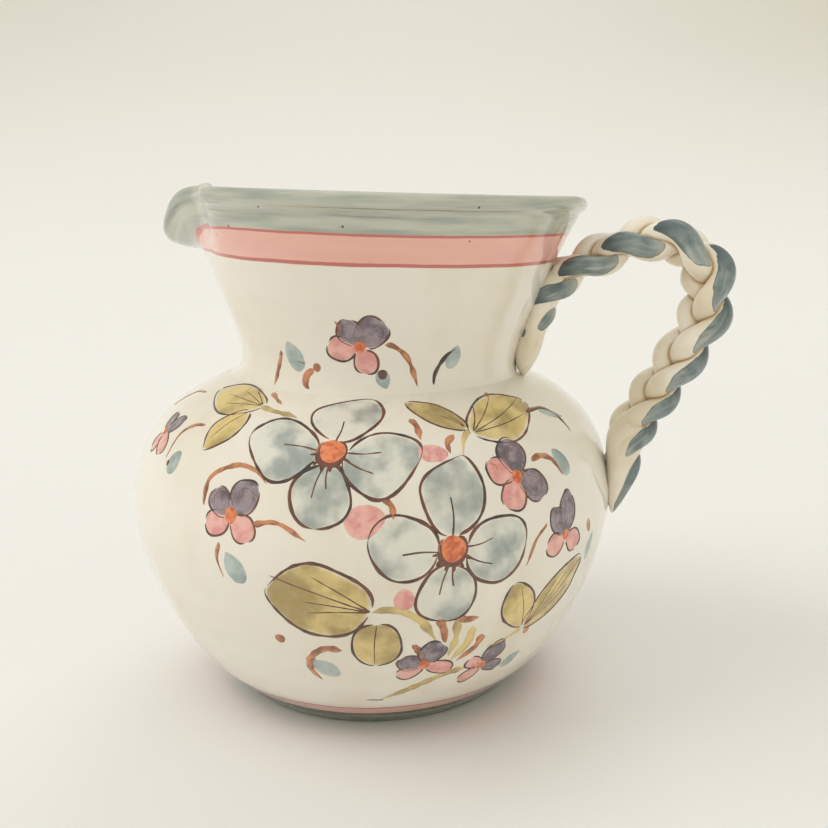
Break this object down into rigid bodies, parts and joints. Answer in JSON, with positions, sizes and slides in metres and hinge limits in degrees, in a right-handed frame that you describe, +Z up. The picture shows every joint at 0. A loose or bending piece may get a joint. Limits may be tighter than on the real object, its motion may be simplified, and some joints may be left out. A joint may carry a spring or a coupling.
{
  "type": "pitcher",
  "caption": "Hand-thrown ceramic pitcher with a round bowl, a flared neck, a pinched pouring lip, a plaited rope handle and painted flowers.",
  "frame": {"origin": "centre of the foot ring's underside, on the surface that the pitcher stands on", "axes": "+Z up; +X from the bowl's axis towards the handle, so the pouring lip is on -X; +Y completes a right-handed frame"},
  "size_m": [0.2021, 0.166, 0.173],
  "materials": {
    "cream_glaze": "glossy cream tin glaze",
    "rim_glaze": "glossy grey-green glaze with brush streaks",
    "foot_glaze": "glossy grey-green glaze, dark line above",
    "handle_glaze": "glossy cream glaze with slate-blue dashes on the plait",
    "pink_glaze": "glossy brushed pink",
    "blue_petal_glaze": "glossy watery blue-grey",
    "purple_petal_glaze": "glossy dusky purple",
    "leaf_glaze": "glossy olive green",
    "orange_glaze": "glossy orange",
    "stem_glaze": "glossy orange-brown",
    "outline_glaze": "glossy dark brown brush line"
  },
  "bodies": {
    "root": {"foot_ring": "foot_glaze", "bowl": "cream_glaze", "neck": "cream_glaze", "pouring_lip": "rim_glaze", "handle_strand_1": "handle_glaze", "handle_strand_2": "handle_glaze", "handle_strand_3": "handle_glaze", "upper_handle_root": "handle_glaze", "lower_handle_terminal": "handle_glaze"}
  },
  "joints": []
}
